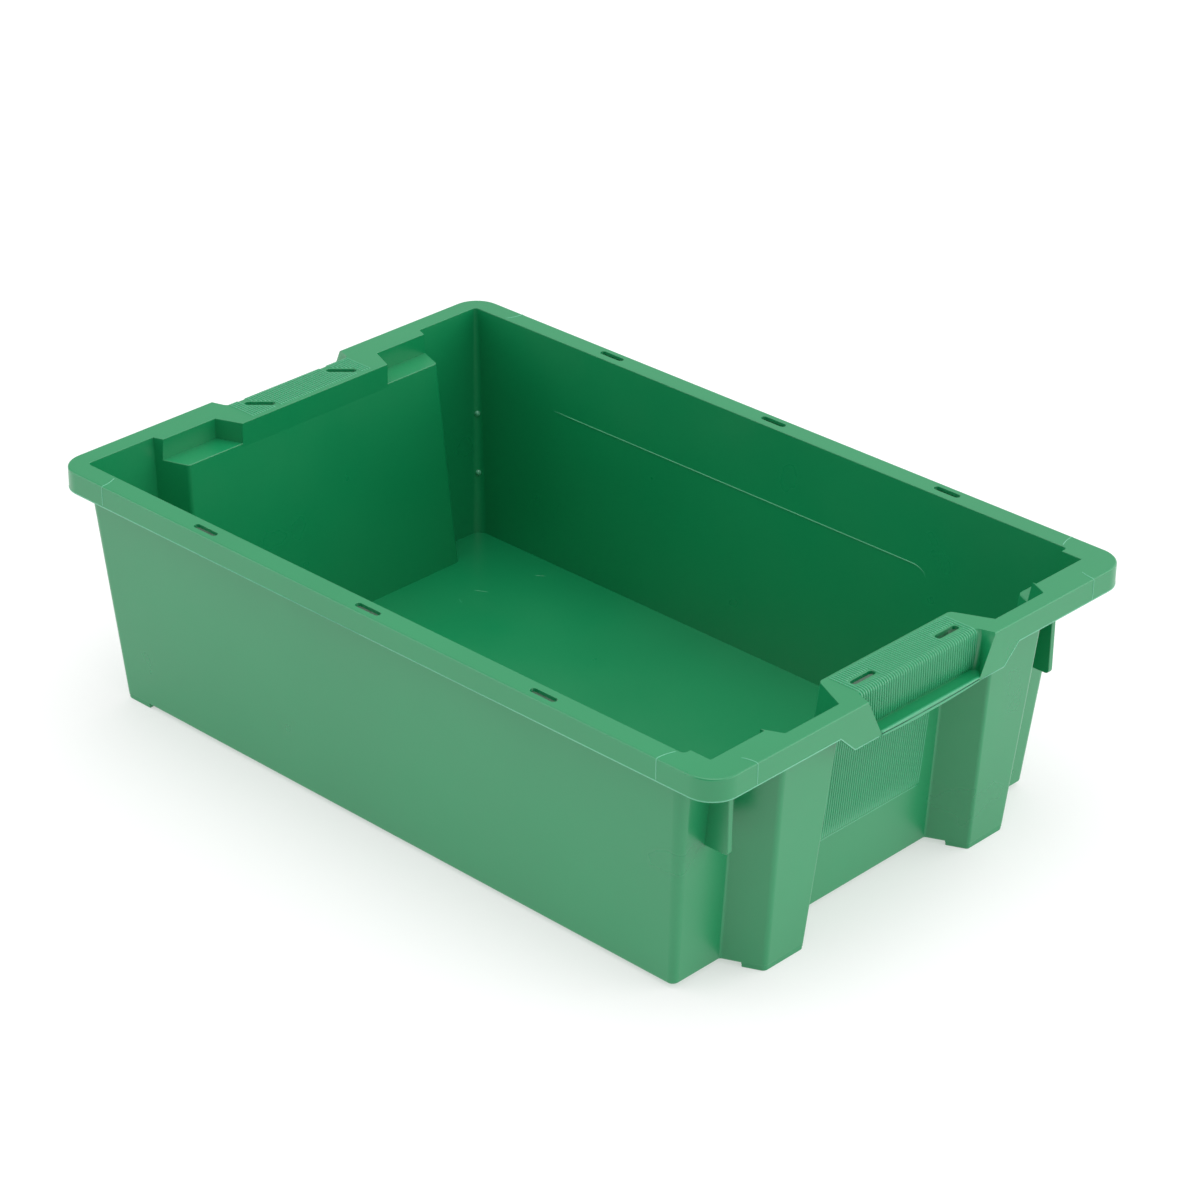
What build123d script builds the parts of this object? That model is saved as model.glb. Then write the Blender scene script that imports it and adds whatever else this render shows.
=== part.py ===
"""Stacking and nesting crate, 600 x 400 x 180 mm, in millimetres.

The crate is one moulding with drafted walls. Turned end for end, its feet stand on the ledges of
the crate below; not turned, it nests. X runs along the long side, Y along the short side, Z up,
and the origin is on the ground under the centre. The right end (+X) has two pilasters, the left
end (-X) has two standing columns. Everything is symmetric about the XZ plane.
"""
import os
from math import cos, hypot, radians, tan

from build123d import *

# overall
LENGTH, WIDTH, HEIGHT = 600, 400, 180
WALL = 2.6                      # wall, flange and floor thickness
FOOT_HEIGHT = 3                 # feet lift the base off the ground
FLOOR_TOP = FOOT_HEIGHT + WALL
BASE_RADIUS = 2.2               # rounded lower edge of the walls
FOOT_RADIUS, FOOT_INSET = 1, 0.4
LEFT_FEET_X, RIGHT_FEET_X = -246.5, 260         # the feet reach from the ends to here
OVERLAP = 0.5                   # added solids reach this far into the flange above them

# rim
RIM_CORNER = 20                 # plan radius of the outer corners
SKIRT_DEPTH = 16.2
SKIRT_WALL = 2.5
RIM_EDGE = 1.3                  # rounding of the outer top edge
PLATE_BOTTOM = HEIGHT - WALL
SKIRT_BOTTOM = HEIGHT - SKIRT_DEPTH

# outer faces of the walls at base level, and the draft of each family of faces
LONG_WALL_Y = 173.2
RIGHT_PANEL_X = 247.4           # central panel and corner columns at the right end
PILASTER_X = 274.2
PILASTER_Y = (82, 118)          # width of a pilaster's face
PILASTER_SPREAD = 12.5          # each flank widens by this towards the panel
LEFT_COLUMN_X = -271.2
LEFT_PANEL_X = -245.9
LEFT_FLANK_Y = (131.3, 122.2)   # flank of the left panel, at the column and at the panel
LONG_DRAFT, END_DRAFT, PILASTER_DRAFT, LEFT_FLANK_DRAFT = 4.4, 5.4, 4.7, 3.8
OUTER_CORNER = (5, 8)           # radius of the corner columns, at the base and at the rim
INNER_CORNER = (8, 3)

# ledges that carry a turned crate
LEDGE_TOP = 164.6
LEFT_LEDGE_X = (-277.8, -253)   # back of the seat, and a front that lies inside the cavity
LEFT_LEDGE_Y = (77, 128)
LEFT_LEDGE_FLARE = (0.41, 0.36)  # how fast its inner and outer ends run towards the middle
RIGHT_LEDGE_X = (277.5, 251.4)
RIGHT_LEDGE_Y = (131, 178.5)

# grips: a recess with a shelf, cut into the rim at both ends
GRIP_FACE = 289.5               # ribbed face of the recess
RECESS_TOP_Y, RECESS_BACK_Y, RECESS_LIP_Y = 61.5, 58, 48
SHELF_TOP = 153.2
GRIP_WALL = 2.5
DROP_BOTTOM = 150.6             # the skirt is deeper beside the shelf
DROP_Y = (72, 86)
LEFT_BAND_X, LEFT_BAND_Y, LEFT_BAND_BOTTOM = -258.3, 70, 161    # upright band inside the left grip

# slots
SLOT_LENGTH, SLOT_WIDTH = 21.5, 5
SIDE_SLOT_X, SIDE_SLOT_Y = 154.5, 192.7
RIGHT_SLOT_X, RIGHT_SLOT_Y = 277.5, 40.4
LEFT_SLOT_X, LEFT_SLOT_Y, LEFT_SLOT_TURN = -274, 38.7, 45

# guard fins under the right corners
FIN_Y = (154.5, 158.5)
FIN_END_X = 275.5
FIN_BOTTOM = 103
FIN_TIP_RADIUS, FIN_EDGE = 3, 0.6

# small roundings of the moulding's edges
GRIP_EDGE = 4                   # over which the hand curls
RECESS_CORNER = 3
MOUTH_EDGE, SLOT_EDGE, SKIRT_EDGE, LIP_EDGE = 0.5, 0.3, 0.5, 0.6
RIGHT_SEAT_EDGE, LEFT_SEAT_EDGE = 1, 0.6
TOUCH = 0.3                     # edges this close to a wanted place are taken for it

# borders between the named regions
LEFT_CUT, RIGHT_CUT = -240, 244
FLOOR_CUT_Y = 168
SKIRT_CUT_X, SKIRT_CUT_Y = 292, 190
GRIP_CUT_X, GRIP_CUT_Y, DROP_CUT_Y = 266, 66, 88
LEFT_WALL_CUT_X, LEFT_WALL_CUT_Y = -271, 112
PANEL_CUT_Y, COLUMN_CUT_Y = 60, 143
LEDGE_CUT_X, LEDGE_FRONT_X = 283, 256.5
LEFT_LEDGE_CUT_Y, RIGHT_LEDGE_CUT_Y = 131, 128


def flank(x1, y1, x2, y2, draft):
    """Face through two plan points, outward normal to the right of the way from 1 to 2."""
    nx, ny = y2 - y1, x1 - x2
    size = hypot(nx, ny)
    nx, ny = nx / size, ny / size
    return nx, ny, nx * x1 + ny * y1, draft


def half_faces():
    """Wall faces from the right panel to the left panel, as normal, reach and draft."""
    inner_y, outer_y = PILASTER_Y
    yield flank(RIGHT_PANEL_X, inner_y - PILASTER_SPREAD, PILASTER_X, inner_y, PILASTER_DRAFT)
    yield 1, 0, PILASTER_X, END_DRAFT
    yield flank(PILASTER_X, outer_y, RIGHT_PANEL_X, outer_y + PILASTER_SPREAD, PILASTER_DRAFT)
    yield 1, 0, RIGHT_PANEL_X, END_DRAFT
    yield 0, 1, LONG_WALL_Y, LONG_DRAFT
    yield -1, 0, -LEFT_COLUMN_X, END_DRAFT
    yield flank(LEFT_COLUMN_X, LEFT_FLANK_Y[0], LEFT_PANEL_X, LEFT_FLANK_Y[1], LEFT_FLANK_DRAFT)


def wall_plan(height, inset):
    """Corners of the wall's plan, height above the base and inset from the outer face."""
    half = list(half_faces())
    mirrored = [(nx, -ny, reach, draft) for nx, ny, reach, draft in reversed(half)]
    faces = [(1, 0, RIGHT_PANEL_X, END_DRAFT), *half,
             (-1, 0, -LEFT_PANEL_X, END_DRAFT), *mirrored]
    lines = [(nx, ny, reach - inset + height * tan(radians(d))) for nx, ny, reach, d in faces]
    corners = []
    for (a, b, c), (d, e, f) in zip(lines, lines[1:] + lines[:1]):
        det = a * e - b * d
        corners.append(((c * e - b * f) / det, (a * f - c * d) / det))
    return corners


def corner_radii(inset, column):
    """Radii at the corners of wall_plan; an inset narrows outer corners and widens inner ones."""
    face, edge, junction, fold = 4.5, 3, 2, 0.6
    half = [junction + inset, edge - inset, face - inset, junction + inset,
            column, column, edge - inset, fold + inset]
    return half + half[::-1]


def wall_section(z, inset, column):
    """Section of the wall form at height z, with this radius at the corner columns."""
    with BuildSketch(Plane.XY.offset(z)) as section:
        with BuildLine():
            corners = wall_plan(z - FOOT_HEIGHT, inset)
            FilletPolyline(*corners, radius=corner_radii(inset, column), close=True)
        make_face()
    return section.sketch


def wall_form(inset, columns, low, high):
    """Drafted solid inside the wall faces, from z = low to z = high."""
    with BuildPart() as form:
        ends = [wall_section(z, inset, column).face() for z, column in zip((low, high), columns)]
        loft(ends, ruled=True)
    return form


def zone(x, y, z, mode=Mode.ADD, side=1):
    """Box between pairs of limits; side -1 takes the y limits on the front side."""
    y = sorted(side * limit for limit in y)
    size = [b - a for a, b in (x, y, z)]
    with Locations(tuple((a + b) / 2 for a, b in (x, y, z))):
        Box(*size, mode=mode)


def mirrored_prism(points, low, high):
    """Prism over a plan polygon and over its mirror image across the XZ plane."""
    with BuildPart() as prism:
        for side in (1, -1):
            with BuildSketch(Plane.XY.offset(low)):
                with BuildLine():
                    Polyline(*[(x, side * y) for x, y in points], close=True)
                make_face()
            extrude(amount=high - low)
    return prism.part


def left_ledge_plan(grow):
    """Plan of a seat in the left end; grow widens it into the casing around it."""
    back, front = LEFT_LEDGE_X[0] - grow, LEFT_LEDGE_X[1]
    inner_y, outer_y = LEFT_LEDGE_Y
    inner_run, outer_run = (flare * (front - back) for flare in LEFT_LEDGE_FLARE)
    inner_y -= grow * (1 - LEFT_LEDGE_FLARE[0])
    return [(front, inner_y - inner_run), (back, inner_y), (back, outer_y), (front, outer_y - outer_run)]


def right_ledge_plan(grow):
    """Plan of a seat in a right corner; grow widens it into the casing around it."""
    back, front = RIGHT_LEDGE_X[0] + grow, RIGHT_LEDGE_X[1]
    inner_y, outer_y = RIGHT_LEDGE_Y
    return [(front, inner_y), (back, inner_y - grow), (back, outer_y + grow), (front, outer_y + grow)]


def recess_form(end, grow, low, high):
    """Recess of the grip at end 1 or -1: an upright back and flanks that close towards the shelf."""
    back, lip_x = GRIP_FACE - grow, LENGTH / 2
    mouth = lip_x + 5
    with BuildPart() as recess:
        for z in (low, high):
            lip_y = RECESS_LIP_Y + (RECESS_TOP_Y - RECESS_LIP_Y) * (z - SHELF_TOP) / (HEIGHT - SHELF_TOP)
            mouth_y = RECESS_BACK_Y + (lip_y - RECESS_BACK_Y) * (mouth - GRIP_FACE) / (lip_x - GRIP_FACE)
            corners = [(back, RECESS_BACK_Y + grow), (mouth, mouth_y + grow)]
            corners += [(x, -y) for x, y in reversed(corners)]
            with BuildSketch(Plane.XY.offset(z)):
                with BuildLine():
                    Polyline(*[(end * x, y) for x, y in corners], close=True)
                make_face()
        loft(ruled=True)
    return recess.part


def publish(piece, name):
    """Label a finished piece and write its STEP file."""
    piece.part.label = name
    export_step(piece.part, f"parts/{name}.step")
    print(f"{name:26s} {len(piece.part.solids())} solid(s), {piece.part.volume / 1000:8.2f} cm3")


# ---- the moulding -------------------------------------------------------------------------------

# where the feet stand, the wall runs straight down to them instead of rounding under
FOOT_ZONES = {"left": (-LENGTH / 2, LEFT_FEET_X), "right": (RIGHT_FEET_X, LENGTH / 2)}
FOOT_COLLAR = BASE_RADIUS + 0.2

outer_form = wall_form(0, OUTER_CORNER, FOOT_HEIGHT, PLATE_BOTTOM)
with outer_form:
    fillet(outer_form.edges().group_by(Axis.Z)[0], BASE_RADIUS)

cavity = wall_form(WALL, INNER_CORNER, FLOOR_TOP, HEIGHT + 1)


def foot_pads(end_name, inset, low, high):
    """Pads under one end, over the wall's plan at base level."""
    with BuildPart() as pads:
        with BuildSketch(Plane.XY.offset(low)):
            add(wall_section(FOOT_HEIGHT, inset, OUTER_CORNER[0] - inset))
        extrude(amount=high - low)
        zone(FOOT_ZONES[end_name], (-WIDTH / 2, WIDTH / 2), (low, high), Mode.INTERSECT)
    return pads


with BuildPart() as rim_form:
    with BuildSketch(Plane.XY.offset(SKIRT_BOTTOM)):
        RectangleRounded(LENGTH, WIDTH, RIM_CORNER)
    extrude(amount=SKIRT_DEPTH)
    fillet(rim_form.edges().group_by(Axis.Z)[-1], RIM_EDGE)
    with BuildSketch(Plane.XY.offset(SKIRT_BOTTOM)):
        RectangleRounded(LENGTH - 2 * SKIRT_WALL, WIDTH - 2 * SKIRT_WALL, RIM_CORNER - SKIRT_WALL)
    extrude(amount=SKIRT_DEPTH - WALL, mode=Mode.SUBTRACT)

grip_casings = {}
for end in (-1, 1):
    with BuildPart() as grip_casing:
        add(recess_form(end, GRIP_WALL, DROP_BOTTOM, PLATE_BOTTOM + OVERLAP))
        with BuildSketch(Plane.YZ.offset(end * (LENGTH / 2 - SKIRT_WALL))):
            with BuildLine():
                Polyline((-DROP_Y[1], SKIRT_BOTTOM), (-DROP_Y[0], DROP_BOTTOM),
                         (DROP_Y[0], DROP_BOTTOM), (DROP_Y[1], SKIRT_BOTTOM), close=True)
            make_face()
        extrude(amount=end * SKIRT_WALL)
        zone((-LENGTH / 2, LENGTH / 2), (-WIDTH / 2, WIDTH / 2), (0, HEIGHT), Mode.INTERSECT)
    grip_casings[end] = grip_casing

with BuildPart() as sharp_moulding:
    add(outer_form.part)
    add(rim_form.part)
    for ledge_plan in (left_ledge_plan(WALL), right_ledge_plan(WALL)):
        add(mirrored_prism(ledge_plan, LEDGE_TOP - WALL, PLATE_BOTTOM + OVERLAP))
    for end in FOOT_ZONES:
        add(foot_pads(end, 0, FOOT_HEIGHT, FOOT_HEIGHT + FOOT_COLLAR).part)
    for casing in grip_casings.values():
        add(casing.part)
    add(cavity.part, mode=Mode.SUBTRACT)
    zone((LEFT_BAND_X - WALL, LEFT_BAND_X), (-LEFT_BAND_Y, LEFT_BAND_Y), (LEFT_BAND_BOTTOM, HEIGHT))
    for ledge_plan in (left_ledge_plan(0), right_ledge_plan(0)):
        add(mirrored_prism(ledge_plan, LEDGE_TOP, HEIGHT + 1), mode=Mode.SUBTRACT)
    for end in (-1, 1):
        add(recess_form(end, 0, SHELF_TOP, HEIGHT + 1), mode=Mode.SUBTRACT)
    with BuildSketch(Plane.XY.offset(HEIGHT)):
        with GridLocations(SIDE_SLOT_X, 2 * SIDE_SLOT_Y, 3, 2):
            SlotOverall(SLOT_LENGTH, SLOT_WIDTH)
        for side in (1, -1):
            with Locations((RIGHT_SLOT_X, side * RIGHT_SLOT_Y)):
                SlotOverall(SLOT_LENGTH, SLOT_WIDTH, rotation=90)
            with Locations((LEFT_SLOT_X, side * LEFT_SLOT_Y)):
                SlotOverall(SLOT_LENGTH, SLOT_WIDTH, rotation=LEFT_SLOT_TURN)
    extrude(amount=-2 * WALL, mode=Mode.SUBTRACT)



def edges_at(piece, x=None, y=None, z=None, reach=TOUCH):
    """Edges whose middle lies at these distances from the middle planes and the ground."""
    def matches(edge):
        middle = edge.center()
        pairs = ((abs(middle.X), x), (abs(middle.Y), y), (middle.Z, z))
        return all(wanted is None or abs(value - wanted) < reach for value, wanted in pairs)
    return piece.edges().filter_by(matches)


def rim_openings(piece):
    """Closed edge loops in the top of the rim, the small slots first and the crate's mouth last."""
    top = piece.faces().group_by(Axis.Z)[-1].sort_by(SortBy.AREA)[-1]
    return sorted(top.inner_wires(), key=lambda loop: loop.length)


def wall_face(base_x, z):
    """Distance from the YZ plane of the inside of an end face that starts at base_x."""
    return abs(base_x) + (z - FOOT_HEIGHT) * tan(radians(END_DRAFT)) - WALL


shell = sharp_moulding.part.solid()
shell = shell.fillet(GRIP_EDGE, edges_at(shell, x=GRIP_FACE, y=0, z=HEIGHT))
recess_middle = (SHELF_TOP + HEIGHT - GRIP_EDGE) / 2
recess_corners = edges_at(shell, x=GRIP_FACE, y=RECESS_BACK_Y, z=recess_middle, reach=2 * TOUCH)
shell = shell.fillet(RECESS_CORNER, recess_corners)
shell = shell.fillet(LIP_EDGE, edges_at(shell, x=LENGTH / 2, y=0, z=SHELF_TOP))
shell = shell.fillet(MOUTH_EDGE, rim_openings(shell)[-1].edges())
slot_edges = [edge for slot in rim_openings(shell)[:-1] for edge in slot.edges()]
shell = shell.fillet(SLOT_EDGE, slot_edges)
corner_inset = RIM_CORNER * (1 - cos(radians(45)))
skirt_edges = edges_at(shell, y=WIDTH / 2, z=SKIRT_BOTTOM)
skirt_edges += edges_at(shell, x=LENGTH / 2 - corner_inset, y=WIDTH / 2 - corner_inset, z=SKIRT_BOTTOM)
for z in (SKIRT_BOTTOM, (SKIRT_BOTTOM + DROP_BOTTOM) / 2, DROP_BOTTOM):
    skirt_edges += edges_at(shell, x=LENGTH / 2, z=z)
shell = shell.fillet(SKIRT_EDGE, skirt_edges)
for side, panel_x, radius in ((1, RIGHT_PANEL_X, RIGHT_SEAT_EDGE), (-1, LEFT_PANEL_X, LEFT_SEAT_EDGE)):
    seat_fronts = edges_at(shell, x=wall_face(panel_x, LEDGE_TOP), z=LEDGE_TOP)
    shell = shell.fillet(radius, [edge for edge in seat_fronts if side * edge.center().X > 0])

with BuildPart() as moulding:
    add(shell)

# ---- the named regions of the moulding ----------------------------------------------------------

FAR_X, FAR_Y = LENGTH / 2 + 1, WIDTH / 2 + 1
SIDES = {"front": -1, "rear": 1}
os.makedirs("parts", exist_ok=True)

with BuildPart() as floor_panel:
    add(moulding.part)
    zone((LEFT_CUT, RIGHT_CUT), (-FLOOR_CUT_Y, FLOOR_CUT_Y), (0, FLOOR_TOP + 1), Mode.INTERSECT)
publish(floor_panel, "floor_panel")

for side_name, side in SIDES.items():
    with BuildPart() as long_wall:
        add(moulding.part)
        zone((LEFT_CUT, RIGHT_CUT), (FLOOR_CUT_Y, SKIRT_CUT_Y), (0, PLATE_BOTTOM), Mode.INTERSECT, side)
    publish(long_wall, f"{side_name}_long_wall")

with BuildPart() as left_end_wall:
    add(moulding.part)
    zone((LEFT_WALL_CUT_X, LEFT_CUT), (-LEFT_WALL_CUT_Y, LEFT_WALL_CUT_Y), (0, PLATE_BOTTOM),
         Mode.INTERSECT)
    for side in SIDES.values():
        zone((-FAR_X, LEFT_CUT), (GRIP_CUT_Y, FAR_Y), (LEDGE_TOP - WALL, HEIGHT), Mode.SUBTRACT, side)
publish(left_end_wall, "left_end_wall")

with BuildPart() as right_end_wall:
    add(moulding.part)
    zone((RIGHT_CUT, GRIP_CUT_X), (-PANEL_CUT_Y, PANEL_CUT_Y), (0, PLATE_BOTTOM), Mode.INTERSECT)
publish(right_end_wall, "right_end_wall")

for side_name, side in SIDES.items():
    with BuildPart() as left_column:
        add(moulding.part)
        zone((-SKIRT_CUT_X, LEFT_CUT), (LEFT_WALL_CUT_Y, SKIRT_CUT_Y), (0, PLATE_BOTTOM),
             Mode.INTERSECT, side)
        zone((-LEDGE_CUT_X, LEFT_CUT), (0, LEFT_LEDGE_CUT_Y), (LEDGE_TOP - WALL, HEIGHT),
             Mode.SUBTRACT, side)
    publish(left_column, f"left_{side_name}_column")

    with BuildPart() as right_column:
        add(moulding.part)
        zone((RIGHT_CUT, SKIRT_CUT_X), (COLUMN_CUT_Y, SKIRT_CUT_Y), (0, PLATE_BOTTOM), Mode.INTERSECT, side)
        zone((LEDGE_FRONT_X, FAR_X), (0, FAR_Y), (LEDGE_TOP - WALL, HEIGHT), Mode.SUBTRACT, side)
    publish(right_column, f"right_{side_name}_column")

    with BuildPart() as pilaster:
        add(moulding.part)
        zone((RIGHT_CUT, SKIRT_CUT_X), (PANEL_CUT_Y, COLUMN_CUT_Y), (0, PLATE_BOTTOM), Mode.INTERSECT, side)
        zone((LEDGE_FRONT_X, LEDGE_CUT_X), (RIGHT_LEDGE_CUT_Y, FAR_Y), (LEDGE_TOP - WALL, HEIGHT),
             Mode.SUBTRACT, side)
        zone((GRIP_CUT_X, FAR_X), (0, GRIP_CUT_Y), (DROP_BOTTOM - 1, HEIGHT), Mode.SUBTRACT, side)
    publish(pilaster, f"right_{side_name}_pilaster")

    with BuildPart() as left_ledge:
        add(moulding.part)
        zone((-LEDGE_CUT_X, LEFT_CUT), (GRIP_CUT_Y, LEFT_LEDGE_CUT_Y), (LEDGE_TOP - WALL, PLATE_BOTTOM),
             Mode.INTERSECT, side)
    publish(left_ledge, f"left_{side_name}_ledge")

    with BuildPart() as right_ledge:
        add(moulding.part)
        zone((LEDGE_FRONT_X, LEDGE_CUT_X), (RIGHT_LEDGE_CUT_Y, SKIRT_CUT_Y),
             (LEDGE_TOP - WALL, PLATE_BOTTOM), Mode.INTERSECT, side)
    publish(right_ledge, f"right_{side_name}_ledge")

    with BuildPart() as corner_fin:
        zone((RIGHT_CUT, FIN_END_X), FIN_Y, (FIN_BOTTOM, LEDGE_TOP - WALL), Mode.ADD, side)
        fillet(edges_at(corner_fin, x=FIN_END_X, z=FIN_BOTTOM), FIN_TIP_RADIUS)
        outline = [edge for face in corner_fin.faces().filter_by(Axis.Y) for edge in face.edges()
                   if edge.center().Z < LEDGE_TOP - WALL - TOUCH and edge.center().X > RIGHT_CUT + TOUCH]
        fillet(outline, FIN_EDGE)
        add(outer_form.part, mode=Mode.SUBTRACT)
    publish(corner_fin, f"{side_name}_corner_fin")

    with BuildPart() as rim_rail:
        add(moulding.part)
        zone((LEFT_CUT, RIGHT_CUT), (FLOOR_CUT_Y, FAR_Y), (SKIRT_BOTTOM, HEIGHT), Mode.INTERSECT, side)
        zone((LEFT_CUT, RIGHT_CUT), (0, SKIRT_CUT_Y), (0, PLATE_BOTTOM), Mode.SUBTRACT, side)
    publish(rim_rail, f"{side_name}_rim_rail")

for end_name, near, far in (("left", LEFT_CUT, -FAR_X), ("right", RIGHT_CUT, FAR_X)):
    end_span = sorted((near, far))
    inner_span = sorted((near, SKIRT_CUT_X if far > 0 else -SKIRT_CUT_X))
    for side_name, side in SIDES.items():
        with BuildPart() as rim_corner:
            add(moulding.part)
            zone(end_span, (GRIP_CUT_Y, FAR_Y), (SKIRT_BOTTOM, HEIGHT), Mode.INTERSECT, side)
            zone(inner_span, (0, SKIRT_CUT_Y), (0, PLATE_BOTTOM), Mode.SUBTRACT, side)
            zone(end_span, (0, DROP_CUT_Y), (0, PLATE_BOTTOM), Mode.SUBTRACT, side)
        publish(rim_corner, f"{end_name}_{side_name}_rim_corner")

    with BuildPart() as grip:
        add(moulding.part)
        zone(end_span, (-DROP_CUT_Y, DROP_CUT_Y), (DROP_BOTTOM - 1, HEIGHT), Mode.INTERSECT)
        for side in SIDES.values():
            zone(end_span, (GRIP_CUT_Y, FAR_Y), (PLATE_BOTTOM, HEIGHT + 1), Mode.SUBTRACT, side)
            zone(inner_span, (GRIP_CUT_Y, FAR_Y), (0, PLATE_BOTTOM), Mode.SUBTRACT, side)
        zone(sorted((near, GRIP_CUT_X if far > 0 else LEFT_WALL_CUT_X)), (-FAR_Y, FAR_Y),
             (0, PLATE_BOTTOM), Mode.SUBTRACT)
    publish(grip, f"{end_name}_grip")

    feet = foot_pads(end_name, FOOT_INSET, 0, FOOT_HEIGHT)
    with feet:
        fillet(feet.edges().group_by(Axis.Z)[0], FOOT_RADIUS)
    publish(feet, f"{end_name}_feet")
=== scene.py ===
"""Looks of the stacking and nesting crate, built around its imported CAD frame.

The CAD nodes keep their shape and get the moulded plastic. This script adds what is finer than the
CAD: the ribs of the grips and end panels, the lips of the shelves, the bead along the rim's skirt,
parting and witness lines, pegs and marks. Shapes are worked out in millimetres and scaled to metres
where a vertex is made; the camera and the floor are in metres.
"""
from math import cos, pi, radians, sin, sqrt, tan

import bmesh
import bpy
from mathutils import Matrix, Vector


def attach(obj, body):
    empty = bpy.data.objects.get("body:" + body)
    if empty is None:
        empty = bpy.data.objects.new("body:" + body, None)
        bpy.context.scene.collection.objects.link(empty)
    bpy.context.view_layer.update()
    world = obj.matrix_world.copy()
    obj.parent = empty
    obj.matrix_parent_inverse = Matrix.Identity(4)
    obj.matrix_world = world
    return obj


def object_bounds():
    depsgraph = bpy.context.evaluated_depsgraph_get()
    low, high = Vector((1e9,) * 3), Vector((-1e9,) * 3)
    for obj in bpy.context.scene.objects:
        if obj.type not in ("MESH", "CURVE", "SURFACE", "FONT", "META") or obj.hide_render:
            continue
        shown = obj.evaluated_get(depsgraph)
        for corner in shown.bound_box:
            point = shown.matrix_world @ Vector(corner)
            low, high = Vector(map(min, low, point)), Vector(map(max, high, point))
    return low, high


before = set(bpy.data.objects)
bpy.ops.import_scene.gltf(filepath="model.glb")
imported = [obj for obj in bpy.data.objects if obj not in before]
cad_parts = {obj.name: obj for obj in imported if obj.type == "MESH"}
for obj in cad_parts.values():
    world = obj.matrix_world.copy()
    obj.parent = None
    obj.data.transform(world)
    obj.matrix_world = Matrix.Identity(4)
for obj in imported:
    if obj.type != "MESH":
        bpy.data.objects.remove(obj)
cad_low, cad_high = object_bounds()

MM = 0.001
CLOSE = 0.01                                         # millimetres that count as nothing
BODY, SLOT = "root", "body"
EAST, NORTH, UP = Vector((1, 0, 0)), Vector((0, 1, 0)), Vector((0, 0, 1))

# ---- camera ---------------------------------------------------------------------------------------

AZIMUTH, ELEVATION, ROLL = 43.527, 28.102, 0.593     # degrees
AIM = (-0.0297, 0.0409, 0.0938)
DISTANCE = 2.568
LENS, SENSOR = 114.62, 36                            # millimetres
CLIP = (0.05, 60)


def make_camera():
    """Perspective camera that looks at AIM from the front right."""
    a, e = radians(AZIMUTH), radians(ELEVATION)
    back = Vector((sin(a) * cos(e), -cos(a) * cos(e), sin(e)))
    turn = (-back).to_track_quat("-Z", "Y").to_matrix().to_4x4()
    data = bpy.data.cameras.new("camera")
    data.lens, data.sensor_width = LENS, SENSOR
    data.clip_start, data.clip_end = CLIP
    camera = bpy.data.objects.new("camera", data)
    camera.matrix_world = (Matrix.Translation(Vector(AIM) + back * DISTANCE) @ turn
                           @ Matrix.Rotation(radians(ROLL), 4, "Z"))
    bpy.context.scene.collection.objects.link(camera)
    bpy.context.scene.camera = camera


# ---- materials ------------------------------------------------------------------------------------

GREEN = (0.004, 0.248, 0.088)
# The moulding is one green. These two are paler, a painted highlight, so that fine raised detail reads as
# light lines.
CREST_HIGHLIGHT_GREEN = (0.030, 0.330, 0.150)      # fine ribs, shelf lips, witness line, floor marks
EDGE_HIGHLIGHT_GREEN = (0.100, 0.430, 0.250)       # skirt bead, parting lines, corner pegs

# scales of the noise are per metre
CLOUD_SCALE, CLOUD_TINT = 7, 0.04
HAZE_SCALE, ROUGHNESS = 16, (0.27, 0.35)
GRAIN_SCALE, GRAIN_STRENGTH, GRAIN_DEPTH = 1400, 0.06, 0.1 * MM
NOISE_SPAN = (0.3, 0.7)                  # the noise's values hardly ever leave this span
IOR, SPECULAR_LEVEL = 1.5, 0.78


def noise(nodes, links, place, scale, detail):
    """Value of a noise texture in the object's own coordinates."""
    texture = nodes.new("ShaderNodeTexNoise")
    texture.inputs["Scale"].default_value = scale
    texture.inputs["Detail"].default_value = detail
    links.new(place, texture.inputs["Vector"])
    return texture.outputs["Fac"]


def spread(nodes, links, value, low, high):
    """Stretches the noise's usual span to the values from low to high."""
    node = nodes.new("ShaderNodeMapRange")
    links.new(value, node.inputs["Value"])
    node.inputs["From Min"].default_value, node.inputs["From Max"].default_value = NOISE_SPAN
    node.inputs["To Min"].default_value, node.inputs["To Max"].default_value = low, high
    return node.outputs["Result"]


def mix_colours(nodes, links, factor, low, high):
    """Colour that goes from low to high with the factor."""
    mix = nodes.new("ShaderNodeMix")
    mix.data_type = "RGBA"
    factor_socket, low_socket, high_socket = mix.inputs[0], mix.inputs[6], mix.inputs[7]
    links.new(factor, factor_socket)
    low_socket.default_value = (*low, 1)
    high_socket.default_value = (*high, 1)
    return mix.outputs[2]


def moulded_plastic(name, colour):
    """Polypropylene: even colour with faint flow clouds, satin gloss, fine mould grain."""
    material = bpy.data.materials.new(name)
    material.use_nodes = True
    nodes, links = material.node_tree.nodes, material.node_tree.links
    shader = nodes["Principled BSDF"]
    place = nodes.new("ShaderNodeTexCoord").outputs["Object"]

    clouds = spread(nodes, links, noise(nodes, links, place, CLOUD_SCALE, 2), 0, 1)
    low = tuple(c * (1 - CLOUD_TINT) for c in colour)
    high = tuple(c * (1 + CLOUD_TINT) for c in colour)
    links.new(mix_colours(nodes, links, clouds, low, high), shader.inputs["Base Color"])

    haze = spread(nodes, links, noise(nodes, links, place, HAZE_SCALE, 3), *ROUGHNESS)
    links.new(haze, shader.inputs["Roughness"])

    bump = nodes.new("ShaderNodeBump")
    bump.inputs["Strength"].default_value = GRAIN_STRENGTH
    bump.inputs["Distance"].default_value = GRAIN_DEPTH
    links.new(noise(nodes, links, place, GRAIN_SCALE, 2), bump.inputs["Height"])
    links.new(bump.outputs["Normal"], shader.inputs["Normal"])

    shader.inputs["IOR"].default_value = IOR
    shader.inputs["Specular IOR Level"].default_value = SPECULAR_LEVEL
    return material


# ---- mesh helpers ---------------------------------------------------------------------------------

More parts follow.
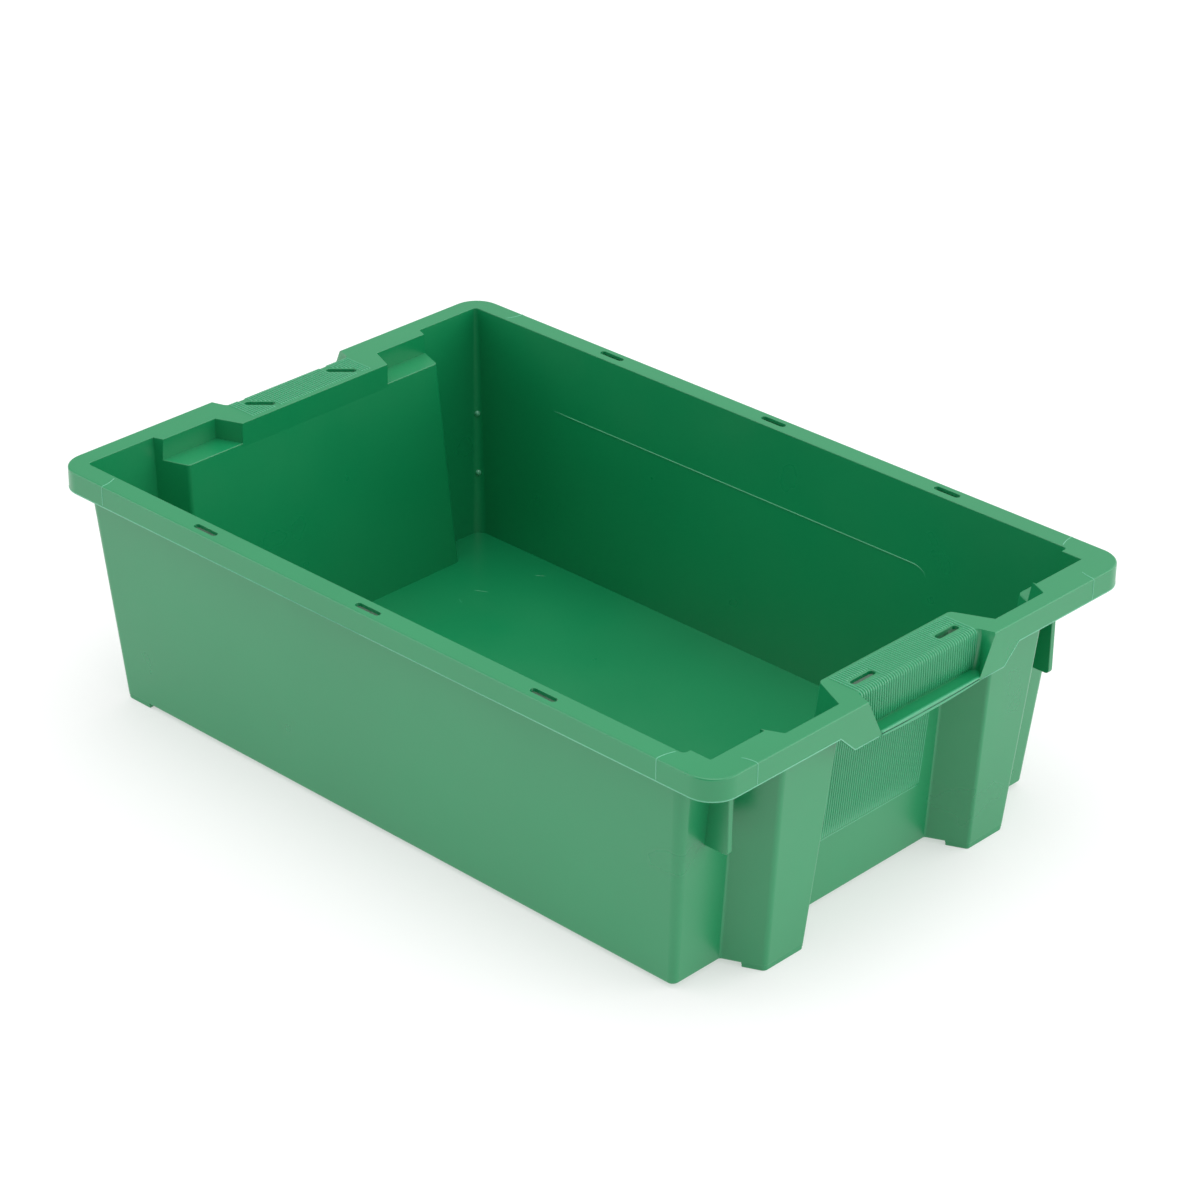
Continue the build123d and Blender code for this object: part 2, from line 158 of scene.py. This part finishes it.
def finish_piece(name, bm, material):
    """Turns bmesh geometry into a piece that rides on the crate."""
    bmesh.ops.recalc_face_normals(bm, faces=bm.faces)
    mesh = bpy.data.meshes.new(name)
    bm.to_mesh(mesh)
    bm.free()
    mesh.shade_smooth()
    mesh.materials.append(material)
    piece = bpy.data.objects.new(name, mesh)
    bpy.context.scene.collection.objects.link(piece)
    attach(piece, BODY)


def solid_from_rings(bm, rings):
    """Closed solid through rings of points, each ring a list of the same length, in millimetres."""
    rings = [[bm.verts.new(point * MM) for point in ring] for ring in rings]
    for a, b in zip(rings, rings[1:]):
        for k in range(len(a)):
            following = (k + 1) % len(a)
            bm.faces.new((a[k], a[following], b[following], b[k]))
    bm.faces.new(rings[0])
    bm.faces.new(rings[-1])


def ridge(bm, path, normals, side, width, height, depth=0.1, taper=1.5):
    """Low ridge with a round back along a path, sunk by depth and fading out over its ends.

    normals gives the way up at each point of the path, side the way across. The ends fade out over
    taper times the width.
    """
    sections, end_rise = 6, 0.05
    lengths = [0.0]
    for a, b in zip(path, path[1:]):
        lengths.append(lengths[-1] + (b - a).length)
    rings = []
    for point, up, s in zip(path, normals, lengths):
        rise = min(1.0, min(s, lengths[-1] - s) / (taper * width) + end_rise)
        ring = []
        for k in range(sections + 1):
            t = pi * k / sections
            lift = sin(t) * (height + depth) * rise - depth
            ring.append(point + side * (cos(t) * width / 2) + up * lift)
        rings.append(ring)
    solid_from_rings(bm, rings)


def quarter_turn(centre, radius, start, end, steps):
    """Points after the start of a quarter circle, with the direction that each is in."""
    for k in range(1, steps + 1):
        t = pi / 2 * k / steps
        out = start * cos(t) + end * sin(t)
        yield centre + out * radius, out


# ---- what the CAD says, in millimetres --------------------------------------------------------------

RIM_X, RIM_Y, HEIGHT = (round(c / MM) for c in cad_high)
FOOT, WALL = 3, 2.6
LONG_DRAFT, END_DRAFT = radians(4.4), radians(5.4)
LONG_WALL_Y, COLUMN_X = 173.2, 271.2                 # outer faces at the floor's underside
PANEL_X = {1: 247.4, -1: 245.9}                      # the same for each end's panel
GRIP_INNER_X = {1: 262.8, -1: 261.6}
GRIP_FACE, GRIP_EDGE, SHELF_TOP = 289.5, 4, 153.2
RIM_EDGE, RIM_CORNER = 1.3, 20
SKIRT_FOOT, SHELF_FOOT = 164.6, 151.4
SKIRT_STEP_Y = (72.3, 86.3)                          # the skirt goes down to the shelf's foot here
ENDS = {1: "right", -1: "left"}

# slots in the grips: centre and direction
SLOT_HALF, SLOT_RADIUS = 8.25, 2.5
SLOTS = {1: [((277.5, y), (0, 1)) for y in (-40.4, 40.4)],
         -1: [((-274, y), (sqrt(0.5), sqrt(0.5))) for y in (-38.7, 38.7)]}


def in_slot(end, x, y, margin):
    """True if a point of the grip's top is in one of its slots or nearer to it than the margin."""
    for (cx, cy), (dx, dy) in SLOTS[end]:
        along = max(-SLOT_HALF, min(SLOT_HALF, (x - cx) * dx + (y - cy) * dy))
        gap = sqrt((x - cx - along * dx) ** 2 + (y - cy - along * dy) ** 2)
        if gap < SLOT_RADIUS + margin:
            return True
    return False


# ---- pieces -----------------------------------------------------------------------------------------

RIB_PITCH = 2.21


def rib_places(count):
    """Y of each rib of an evenly spaced row about the middle."""
    return [(k - (count - 1) / 2) * RIB_PITCH for k in range(count)]


def clear_stretches(end, y):
    """Samples of X across a grip's top, in stretches that stay clear of its slots."""
    start, stop = GRIP_INNER_X[end], GRIP_FACE - GRIP_EDGE
    step, slot_margin, fewest = 1.0, 0.8, 5
    count = round((stop - start) / step)
    stretches = [[]]
    for k in range(count + 1):
        x = start + (stop - start) * k / count
        if in_slot(end, end * x, y, slot_margin):
            stretches.append([])
        else:
            stretches[-1].append(x)
    return [stretch for stretch in stretches if len(stretch) >= fewest]


def grip_ribs(end):
    """Fine ribs across the top of a grip, over its rounded front and down the recess's face."""
    bm = bmesh.new()
    count, width, height, depth = 51, 1.5, 0.6, 0.15
    shelf_gap, turn_steps, face_steps = 0.3, 5, 11
    flat_end, face_top = GRIP_FACE - GRIP_EDGE, HEIGHT - GRIP_EDGE
    drop = face_top - SHELF_TOP - shelf_gap
    for y in rib_places(count):
        for stretch in clear_stretches(end, y):
            path = [Vector((end * x, y, HEIGHT)) for x in stretch]
            normals = [UP] * len(path)
            if stretch[-1] > flat_end - CLOSE:
                centre = Vector((end * flat_end, y, face_top))
                for point, out in quarter_turn(centre, GRIP_EDGE, UP, EAST * end, turn_steps):
                    path.append(point)
                    normals.append(out)
                for k in range(1, face_steps + 1):
                    path.append(Vector((end * GRIP_FACE, y, face_top - drop * k / face_steps)))
                    normals.append(EAST * end)
            ridge(bm, path, normals, NORTH, width, height, depth, taper=0.8)
    return bm


def panel_ribs(end):
    """Fine upright ribs on the outside of an end panel, under the grip, with a line along their foot."""
    bm = bmesh.new()
    count, width, height = 49, 1.4, 0.5
    line_width, line_height = 1.0, 0.3
    low, high = 53, 150.5
    up = Vector((end * cos(END_DRAFT), 0, -sin(END_DRAFT)))

    def face(y, z):
        return Vector((end * (PANEL_X[end] + (z - FOOT) * tan(END_DRAFT)), y, z))

    for y in rib_places(count):
        path = [face(y, low + (high - low) * (k / 8) ** 2) for k in range(9)]
        ridge(bm, path, [up] * len(path), NORTH, width, height, taper=6)
    reach = count * RIB_PITCH / 2 + 1
    path = [face(reach * (k / 10 - 1), low) for k in range(21)]
    ridge(bm, path, [up] * len(path), UP, line_width, line_height)
    return bm


def shelf_lip(end):
    """Moulded lip along the front of a grip's shelf: two fine edges, and a foot that sags a little."""
    bm = bmesh.new()
    reach, count = 47.6, 34
    high, foot_ends, sag = 153.75, 150.7, 1.7
    step_y, step = -7, 0.35
    rings = []
    for k in range(count + 1):
        s = 2 * k / count - 1
        y = reach * s
        low = foot_ends - sag * (1 - s * s) - (step if y < step_y else 0)
        middle = (high + low) / 2
        profile = ((-2.4, high - 0.7), (-1.7, high), (-0.35, high), (0.2, high - 0.45), (0.2, high - 0.8),
                   (0.0, middle + 0.3), (0.0, middle - 0.3), (0.25, low + 0.8), (0.2, low + 0.3),
                   (-0.3, low), (-1.7, low), (-2.4, low + 0.5))
        rings.append([Vector((end * (RIM_X + out), y, z)) for out, z in profile])
    solid_from_rings(bm, rings)
    return bm


def skirt_bead():
    """Fine raised edge along the foot of the rim's skirt, round all four corners."""
    bm = bmesh.new()
    profile = ((-0.5, -0.1), (-0.35, 0.15), (0, 0.25), (0.35, 0.15), (0.5, -0.1))     # across, out
    corner_steps, shelf_y = 9, 50
    for end in ENDS:
        for side in (-1, 1):
            centre = Vector((end * (RIM_X - RIM_CORNER), side * (RIM_Y - RIM_CORNER), SKIRT_FOOT))
            path = [Vector((0, side * RIM_Y, SKIRT_FOOT)), centre + NORTH * side * RIM_CORNER]
            normals = [NORTH * side] * 2
            corner = quarter_turn(centre, RIM_CORNER, NORTH * side, EAST * end, corner_steps)
            for point, out in list(corner)[:-1]:
                path.append(point)
                normals.append(out)
            for y, z in ((RIM_Y - RIM_CORNER, SKIRT_FOOT), (SKIRT_STEP_Y[1], SKIRT_FOOT),
                         (SKIRT_STEP_Y[0], SHELF_FOOT), (shelf_y, SHELF_FOOT)):
                path.append(Vector((end * RIM_X, side * y, z)))
                normals.append(EAST * end)
            rings = []
            for k, (point, out) in enumerate(zip(path, normals)):
                ahead = path[min(k + 1, len(path) - 1)] - path[max(k - 1, 0)]
                across = ahead.cross(out).normalized()
                rings.append([point + across * a + out * b for a, b in profile])
            solid_from_rings(bm, rings)
    return bm


def parting_line(bm, place, out, along, curl, step):
    """Fine raised line up the rim's skirt and a little way over its top, where it curls aside.

    place is on the rim's outer face at ground level, out points away from the crate and along runs
    with the rim. The line goes inwards over the top in steps and ends curl further along.
    """
    width, height, turn_steps, top_steps = 0.8, 0.3, 4, 6
    path = [place + UP * z for z in (SKIRT_FOOT, 168, 172, 176, HEIGHT - RIM_EDGE)]
    normals = [out] * len(path)
    edge = place - out * RIM_EDGE + UP * (HEIGHT - RIM_EDGE)
    for point, normal in quarter_turn(edge, RIM_EDGE, out, UP, turn_steps):
        path.append(point)
        normals.append(normal)
    for k in range(1, top_steps + 1):
        aside = along * (curl * (k / top_steps) ** 2)
        path.append(place - out * (RIM_EDGE + step * k) + aside + UP * HEIGHT)
        normals.append(UP)
    ridge(bm, path, normals, along, width, height)


def parting_lines():
    """Parting lines near the ends of both long sides and near the corners of the right end."""
    bm = bmesh.new()
    for side in (-1, 1):
        for x, curl in ((-251.5, -4), (254, 3)):
            parting_line(bm, Vector((x, side * RIM_Y, 0)), NORTH * side, EAST, curl, 2.2)
        parting_line(bm, Vector((RIM_X, side * 162, 0)), EAST, NORTH, side * 2.5, 1.7)
    return bm


def witness_line():
    """Long fine line on the inside of the rear wall, which bends down at its right end."""
    bm = bmesh.new()
    start, bend, end, level, fall = -202, 138, 151, 125, 8
    width, height, steps, bend_steps = 1.2, 0.45, 40, 8
    into = Vector((0, -cos(LONG_DRAFT), sin(LONG_DRAFT)))

    def face(x, z):
        return Vector((x, LONG_WALL_Y - WALL + (z - FOOT) * tan(LONG_DRAFT), z))

    path = [face(start + (bend - start) * k / steps, level) for k in range(steps + 1)]
    for k in range(1, bend_steps + 1):
        t = pi / 2 * k / bend_steps
        path.append(face(bend + (end - bend) * sin(t), level - fall * (1 - cos(t))))
    ridge(bm, path, [into] * len(path), UP, width, height, taper=12)
    return bm


def corner_nubs():
    """Two small pegs in the rear left inner corner, whose radius shrinks from the floor to the rim."""
    bm = bmesh.new()
    floor_top = FOOT + WALL
    low_radius, high_radius, sides = 8, 3, 20
    out, across = Vector((1, -1, 0)).normalized(), Vector((1, 1, 0)).normalized()
    for z in (99, 53):
        radius = low_radius + (high_radius - low_radius) * (z - floor_top) / (HEIGHT + 1 - floor_top)
        back = radius * (1 - sqrt(0.5))
        x = -(COLUMN_X + (z - FOOT) * tan(END_DRAFT)) + WALL + back
        y = LONG_WALL_Y + (z - FOOT) * tan(LONG_DRAFT) - WALL - back
        rings = []
        for lift, size in ((-0.8, 2.3), (0.6, 2.1), (1.5, 1.5), (1.9, 0.7)):
            centre = Vector((x, y, z)) + out * lift
            angles = [2 * pi * k / sides for k in range(sides)]
            rings.append([centre + across * size * cos(a) + UP * size * sin(a) for a in angles])
        solid_from_rings(bm, rings)
    return bm


def floor_marks():
    """Faint ring on the floor, and shallow rub marks beside it."""
    bm = bmesh.new()
    top = FOOT + WALL
    width, ring_height, rub_height = 0.8, 0.16, 0.12
    centre, radius, sides = Vector((-199, 121, top)), 5, 40
    rubs = (((-205, 100), (-193, 107)), ((-203, 84), (-195, 80)), ((-190, 148), (-180, 154)))
    ring = []
    for k in range(sides - 1):
        a = 2 * pi * k / sides
        ring.append(centre + (EAST * cos(a) + NORTH * sin(a)) * radius)
    for a, b in zip(ring, ring[1:]):
        ridge(bm, [a, b], [UP, UP], UP.cross(b - a).normalized(), width, ring_height, taper=0.01)
    for (x1, y1), (x2, y2) in rubs:
        a, b = Vector((x1, y1, top)), Vector((x2, y2, top))
        path = [a.lerp(b, k / 6) for k in range(7)]
        ridge(bm, path, [UP] * len(path), UP.cross(b - a).normalized(), width, rub_height, taper=4)
    return bm


# ---- studio -----------------------------------------------------------------------------------------

FLOOR_REACH = 6
FLOOR_PAINT, FLOOR_GLOW = (0.50, 0.50, 0.50), 0.50
FLOOR_ROUGHNESS, FLOOR_SPECULAR = 0.8, 0.2

# soft light of the surroundings: azimuth from +X and elevation in degrees, strength, sharpness
SOFT_LIGHTS = ((0, 90, 3.08, 6), (0, 15, 1.50, 8), (45, 15, 2.45, 8), (90, 15, 1.50, 8), (135, 15, 0.50, 8),
               (180, 15, 0.50, 8), (225, 15, 2.29, 8), (270, 15, 0.20, 8), (315, 15, 0.29, 8))


def soft_surroundings():
    """World whose brightness is a few wide soft lights, the largest of them overhead."""
    world = bpy.data.worlds.new("studio")
    bpy.context.scene.world = world
    world.use_nodes = True
    nodes, links = world.node_tree.nodes, world.node_tree.links
    direction = nodes.new("ShaderNodeTexCoord").outputs["Generated"]

    def maths(operation, first, second):
        """Sum on a socket and either a number or another socket."""
        node = nodes.new("ShaderNodeMath")
        node.operation = operation
        links.new(first, node.inputs[0])
        if isinstance(second, (int, float)):
            node.inputs[1].default_value = second
        else:
            links.new(second, node.inputs[1])
        return node.outputs[0]

    total = None
    for azimuth, elevation, strength, sharpness in SOFT_LIGHTS:
        a, e = radians(azimuth), radians(elevation)
        dot = nodes.new("ShaderNodeVectorMath")
        dot.operation = "DOT_PRODUCT"
        links.new(direction, dot.inputs[0])
        dot.inputs[1].default_value = (cos(a) * cos(e), sin(a) * cos(e), sin(e))
        lobe = maths("POWER", maths("MAXIMUM", dot.outputs["Value"], 0.0), sharpness)
        lobe = maths("MULTIPLY", lobe, strength)
        total = lobe if total is None else maths("ADD", total, lobe)
    background = nodes["Background"]
    background.inputs["Color"].default_value = (1, 1, 1, 1)
    links.new(total, background.inputs["Strength"])


def studio():
    """Pale floor under soft light. The floor glows a little, so that it stays white."""
    bm = bmesh.new()
    corners = ((-1, -1), (1, -1), (1, 1), (-1, 1))
    bm.faces.new([bm.verts.new((x * FLOOR_REACH, y * FLOOR_REACH, 0)) for x, y in corners])
    mesh = bpy.data.meshes.new("floor")
    bm.to_mesh(mesh)
    bm.free()
    floor = bpy.data.objects.new("floor", mesh)
    bpy.context.scene.collection.objects.link(floor)
    paint = bpy.data.materials.new("floor_paint")
    paint.use_nodes = True
    shader = paint.node_tree.nodes["Principled BSDF"]
    shader.inputs["Base Color"].default_value = (*FLOOR_PAINT, 1)
    shader.inputs["Roughness"].default_value = FLOOR_ROUGHNESS
    shader.inputs["Specular IOR Level"].default_value = FLOOR_SPECULAR
    shader.inputs["Emission Color"].default_value = (1, 1, 1, 1)
    shader.inputs["Emission Strength"].default_value = FLOOR_GLOW
    mesh.materials.append(paint)
    soft_surroundings()
    bpy.context.scene.view_settings.view_transform = "Standard"


# ---- the crate --------------------------------------------------------------------------------------

make_camera()
studio()
plastic = moulded_plastic("green_plastic", GREEN)
# Paler copy of the plastic: a painted highlight on the fine ribs, shelf lips, witness line and floor marks.
crest_highlight_plastic = moulded_plastic("green_plastic_crest_highlights", CREST_HIGHLIGHT_GREEN)
# Paler still: a painted highlight on the skirt bead, the parting lines and the corner pegs.
edge_highlight_plastic = moulded_plastic("green_plastic_edge_highlights", EDGE_HIGHLIGHT_GREEN)
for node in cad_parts.values():
    node.data.materials.clear()
    node.data.materials.append(plastic)

for end, name in ENDS.items():
    finish_piece(f"{name}_grip_ribs", grip_ribs(end), crest_highlight_plastic)
    finish_piece(f"{name}_panel_ribs", panel_ribs(end), crest_highlight_plastic)
    finish_piece(f"{name}_shelf_lip", shelf_lip(end), crest_highlight_plastic)
finish_piece("skirt_bead", skirt_bead(), edge_highlight_plastic)
finish_piece("parting_lines", parting_lines(), edge_highlight_plastic)
finish_piece("rear_witness_line", witness_line(), crest_highlight_plastic)
finish_piece("corner_nubs", corner_nubs(), edge_highlight_plastic)
finish_piece("floor_marks", floor_marks(), crest_highlight_plastic)
